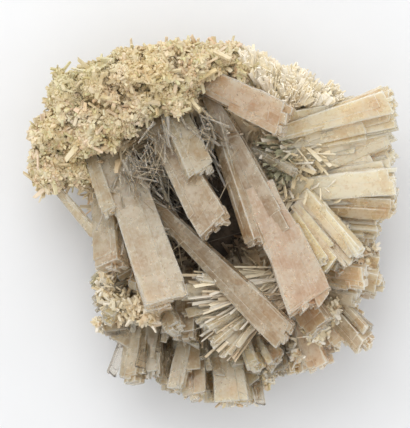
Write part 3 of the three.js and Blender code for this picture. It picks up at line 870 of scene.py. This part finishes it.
def make_knobs():
    """Granular lumps of stout little crystals at the tips and edges."""
    rng = np.random.default_rng(71)
    batch = Batch()
    for x, y, z, size in KNOBS:
        count = int(46 * size)
        ways = rng.normal(size=(count, 3))
        ways /= np.linalg.norm(ways, axis=1, keepdims=True)
        middle = np.array([x, y, z]) + ways * 0.25 * size
        roots = middle + rng.normal(0, 0.25 * size, (count, 3))
        lengths = size * rng.uniform(0.35, 0.65, count)
        widths = rng.uniform(0.9, 2.4, count)
        colours = picked(["cream", "ivory", "yellow", "peach", "edge"], [2, 4, 1, 1, 4], count, rng)
        ways = ways + rng.normal(0, 0.5, (count, 3))
        tints = stained(colours, roots)
        small_crystals(batch, roots, ways, lengths, widths, widths * 0.7, tints, rng, 0.6)
    dressed("knobs", batch.mesh("knobs"), DRUSE, "crystal_cluster")


def bed_surface(steps_round, steps_across):
    """The rough ring that the crystals leave: its vertices and quads."""
    vertices = []
    middle, half = (BED_BOTTOM + BED_TOP) / 2, (BED_TOP - BED_BOTTOM) / 2
    for a in range(steps_round):
        angle = a / steps_round * FULL_TURN
        for b in range(steps_across):
            ring = b / steps_across * FULL_TURN
            share, rise = (1 + math.cos(ring)) / 2, math.sin(ring)
            rough = 1.4 * math.sin(9 * angle + 4 * rise) + 1.1 * math.sin(15 * angle + 2 * share)
            rough += 0.9 * math.sin(31 * angle + 7 * rise) - 1.5
            outer = radius_at(BED_EDGE, angle) + rough
            inner_x = HOLLOW["x"] + math.cos(angle) * (HOLLOW["radius_x"] + rough)
            inner_y = HOLLOW["y"] + math.sin(angle) * (HOLLOW["radius_y"] + rough)
            x = between(inner_x, math.cos(angle) * outer, share)
            y = between(inner_y, math.sin(angle) * outer, share)
            vertices.append((x, y, middle + rise * (half + rough)))
    quads = []
    for a in range(steps_round):
        for b in range(steps_across):
            next_a, next_b = (a + 1) % steps_round, (b + 1) % steps_across
            quads.append((a * steps_across + b, next_a * steps_across + b,
                          next_a * steps_across + next_b, a * steps_across + next_b))
    return np.array(vertices), np.array(quads)


def depth_shade(places):
    """Painted shade: crystals and bed grow darker down inside the hollow, where shade falls."""
    inward = np.clip((hollow_share(places) - 0.95) / 0.35, 0, 1)
    upward = np.clip((places[:, 2] - 16) / 14, 0, 1)
    return np.maximum(inward, 0.5 * upward)[:, None]


def make_bed():
    """The bed and the small crystals that cover it, with painted shade down in the hollow."""
    rng = np.random.default_rng(21)
    batch = Batch()
    vertices, quads = bed_surface(132, 26)
    shade = depth_shade(vertices)
    # Painted shade: the bed darkens towards near-black down in the hollow
    tints = np.array(PALETTE["tan"]) * shade + np.array(PALETTE["painted_shade_brown"]) * (1 - shade)
    batch.add(vertices, quads, stained(tints, vertices), vertices)
    triangles = np.concatenate([quads[:, :3], quads[:, [0, 2, 3]]])
    at, normal = spread_points(vertices, triangles, BED_CRYSTALS, rng)
    keep = (at[:, 2] > 4) & (np.hypot(at[:, 0], at[:, 1]) > 10)
    at, normal = at[keep], normal[keep]
    count = len(at)
    ways = normal + rng.normal(0, 0.45, (count, 3))
    lengths = rng.gamma(3.0, 1.0, count) + 1.2
    widths = rng.uniform(0.4, 1.2, count) * (0.5 + lengths / 6)
    names = ["cream", "ivory", "tan", "milk", "glass", "peach"]
    colours = picked(names, [3, 3, 2, 3, 2, 1], count, rng)
    shade = depth_shade(at)
    # Painted shade: the bed's crystals darken towards near-black down in the hollow
    colours = colours * shade + np.array(PALETTE["painted_shade_brown"]) * 2 * (1 - shade)
    tints = stained(colours, at)
    small_crystals(batch, at - normal * 0.4, ways, lengths, widths, widths * 0.6, tints, rng)
    dressed("bed_druse", batch.mesh("bed_druse"), DRUSE, "crystal_cluster")


def crust_tints(places):
    """Cream that turns slowly yellower and paler over the crust."""
    x, y, z = places.T
    warm = 0.5 + 0.25 * np.sin(x * 0.31 + y * 0.17) + 0.25 * np.sin(y * 0.43 - z * 0.29)
    cream, yellow = np.array(PALETTE["cream"]), np.array(PALETTE["yellow"])
    return 0.84 * between(cream, yellow, warm[:, None])


def crust_grains(name, west, vertices, triangles, seed):
    """A dense coat of small blocky crystals over one side of the crust."""
    rng = np.random.default_rng(seed)
    batch = Batch()
    at, normal = spread_points(vertices, triangles, CRUST_DRAWS, rng)
    rosette = (at[:, 0] > 15) & (at[:, 1] > 28)
    keep = ((at[:, 0] < CRUST_SPLIT) == west) & (normal[:, 2] > -0.6) & ~rosette
    at, normal = at[keep][:CRUST_GRAINS], normal[keep][:CRUST_GRAINS]
    count = len(at)
    ways = normal + rng.normal(0, 0.8, (count, 3))
    lengths = rng.gamma(2.4, 0.26, count) + 1.3
    large = rng.random(count) < LARGE_GRAINS
    lengths = np.where(large, lengths + rng.uniform(2, 4.5, count), lengths)
    widths = np.where(large, rng.uniform(1.0, 2.2, count), rng.uniform(0.6, 1.9, count))
    colours = crust_tints(at) * rng.normal(1, 0.04, (count, 3))
    tints = stained(colours, at)
    small_crystals(batch, at - normal * 1.5, ways, lengths, widths, widths * 0.7, tints, rng, 0.75)
    dressed(name, batch.mesh(name), CRUST, "sulfur_crust")


def make_crust():
    """The yellowish crust: a lumpy base under its small crystals."""
    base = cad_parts["sulfur_crust"].data.copy()
    rough = bpy.data.objects.new("crust_base", base)
    bpy.context.scene.collection.objects.link(rough)
    finer = rough.modifiers.new("finer", "SUBSURF")
    finer.levels = finer.render_levels = 2
    settled = settled_mesh(rough)
    bpy.data.objects.remove(rough)
    settled.calc_loop_triangles()
    places = np.array([vertex.co for vertex in settled.vertices]) / MM - OFFSET
    normals = np.array([vertex.normal for vertex in settled.vertices])
    x, y, z = places.T
    lumps = np.sin(x * 1.9 + z) * np.sin(y * 2.1 - z * 0.7) + 0.6 * np.sin(x * 4.3 - y * 3.7 + z * 4.1)
    places = places + normals * (0.45 * lumps - 0.4)[:, None]
    triangles = np.array([triangle.vertices for triangle in settled.loop_triangles])
    batch = Batch()
    batch.add(places, triangles, stained(crust_tints(places), places), places)
    dressed("crust_base", batch.mesh("crust_base"), CRUST, "sulfur_crust")
    crust_grains("crust_west", True, places, triangles, 33)
    crust_grains("crust_north", False, places, triangles, 34)


def make_splinters():
    """Thin splinters and plates that hang into the hollow from its upper left rim."""
    rng = np.random.default_rng(61)
    parts = []
    for _ in range(SPLINTERS):
        angle = math.radians(rng.uniform(70, 215))
        out = rng.uniform(0.55, 1.25)
        root = np.array([
            HOLLOW["x"] + math.cos(angle) * out * HOLLOW["radius_x"],
            HOLLOW["y"] + math.sin(angle) * out * HOLLOW["radius_y"],
            between(18, 34, min(out / 1.25, 1)) + rng.normal(0, 2),
        ])
        way = np.array([0.4, -0.8, rng.uniform(0.0, 0.6)]) + rng.normal(0, 0.4, 3)
        way /= np.linalg.norm(way)
        tip = inside_box(root, root + way * (5 + rng.gamma(2.5, 2.0)))
        width = rng.uniform(0.3, 1.1)
        depth = width * rng.uniform(0.3, 0.6)
        colour = rng.choice(["cream", "milk", "glass", "edge"])
        roll, slant = rng.uniform(0, 180), rng.normal(0, 0.5)
        splinter = (root, tip, (width, width * 0.8), (depth, depth), roll, slant, colour)
        parts.append(prism(splinter, rng, 2))
    dressed("splinters", joined("splinters", parts), FROSTED, "hollow_needles")


def make_needles():
    """The hollow's lining: a rough dark floor and fine needles that cross, painted darker lower down as
    shade.
    """
    rng = np.random.default_rng(45)
    floor = Batch()
    vertices, triangles = node_surface("hollow_needles")
    floor.add(vertices, triangles, np.array(PALETTE["painted_shade_brown"]), vertices)
    dressed("hollow_floor", floor.mesh("hollow_floor"), ROCK, "hollow_needles")
    batch = Batch()
    angle = np.radians(rng.normal(145, 45, NEEDLES))
    out = rng.uniform(0.5, 1.02, NEEDLES)
    height = rng.uniform(14, 33, NEEDLES)
    roots = np.column_stack([
        HOLLOW["x"] + np.cos(angle) * out * HOLLOW["radius_x"],
        HOLLOW["y"] + np.sin(angle) * out * HOLLOW["radius_y"],
        height * np.where(out > 0.9, 1, 0.55) + 2,
    ])
    inward = np.column_stack([-np.cos(angle), -np.sin(angle), np.full(NEEDLES, 0.6)])
    ways = inward + rng.normal(0, 0.75, (NEEDLES, 3))
    lengths = rng.gamma(3.5, 2.4, NEEDLES) + 3
    widths = rng.uniform(0.14, 0.4, NEEDLES)
    colours = picked(["milk", "smoke", "glass", "tan"], [3, 4, 3, 1], NEEDLES, rng)
    # Painted shade: needles lower in the hollow are darkened
    depth = np.clip((roots[:, 2] - 14) / 20, 0.1, 1)[:, None] ** 1.6
    small_crystals(batch, roots, ways, lengths, widths, widths * 0.7, colours * depth, rng)
    dressed("needle_lining", batch.mesh("needle_lining"), DRUSE, "hollow_needles")


def make_rock():
    """The rock with a broken surface; its cut stays flat."""
    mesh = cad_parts["matrix"].data.copy()
    rock = bpy.data.objects.new("rock_face", mesh)
    bpy.context.scene.collection.objects.link(rock)
    finer = rock.modifiers.new("finer", "SUBSURF")
    finer.subdivision_type = "SIMPLE"
    finer.levels = finer.render_levels = 4
    settled = settled_mesh(rock)
    bpy.data.objects.remove(rock)
    places = np.array([vertex.co for vertex in settled.vertices]) / MM
    angle = np.arctan2(places[:, 1], places[:, 0])
    x, y, z = places.T
    rough = np.sin(23 * angle + z) * 0.35 + np.sin(x * 1.9 + z * 2.3) * 0.3
    rough += np.sin(y * 2.7 - x * 1.3) * 0.25
    inward = 1 - (0.9 + rough) / ROCK_RADIUS * np.clip(places[:, 2] / 1.5, 0, 1)
    places[:, :2] *= inward[:, None]
    settled.vertices.foreach_set("co", (places * MM).ravel())
    settled.update()
    dressed("rock_face", settled, ROCK, "matrix")


def make_floor():
    bpy.ops.mesh.primitive_plane_add(size=6)
    floor = bpy.context.object
    floor.name = "floor"
    floor.data.materials.append(floor_material())


def area_light(name, place, size, power):
    """A round lamp that points at the specimen."""
    data = bpy.data.lights.new(name, "AREA")
    data.shape = "DISK"
    data.size = size
    data.energy = power
    light = bpy.data.objects.new(name, data)
    bpy.context.scene.collection.objects.link(light)
    light.location = place
    light.rotation_euler = (-Vector(place)).to_track_quat("-Z", "Y").to_euler()


def make_light():
    """Even light from all round, and a soft window on the crust's side."""
    world = bpy.data.worlds.new("studio")
    bpy.context.scene.world = world
    world.use_nodes = True
    background = world.node_tree.nodes["Background"]
    background.inputs["Color"].default_value = (0.98, 0.99, 1.0, 1)
    background.inputs["Strength"].default_value = 1.0
    area_light("window", (-0.15, 0.45, 0.55), 0.6, 2.0)


def make_camera():
    """Straight down from above, with a long lens, so that a pixel is a third of a millimetre."""
    aim = np.array([-2.33, 4.0, 25.0])
    distance = 825.0
    data = bpy.data.cameras.new("camera")
    data.sensor_width = 36
    data.lens = data.sensor_width * distance / (IMAGE_HEIGHT * PIXEL_MM)
    data.clip_start, data.clip_end = 0.05, 20
    camera = bpy.data.objects.new("camera", data)
    bpy.context.scene.collection.objects.link(camera)
    camera.location = (aim + OFFSET + (0, 0, distance)) * MM
    bpy.context.scene.camera = camera


make_crystals()
make_stubs()
make_bed()
make_crust()
make_rosette()
make_sheaves()
make_knobs()
make_splinters()
make_needles()
make_rock()
make_floor()
make_light()
make_camera()
bpy.context.scene.view_settings.view_transform = "Standard"
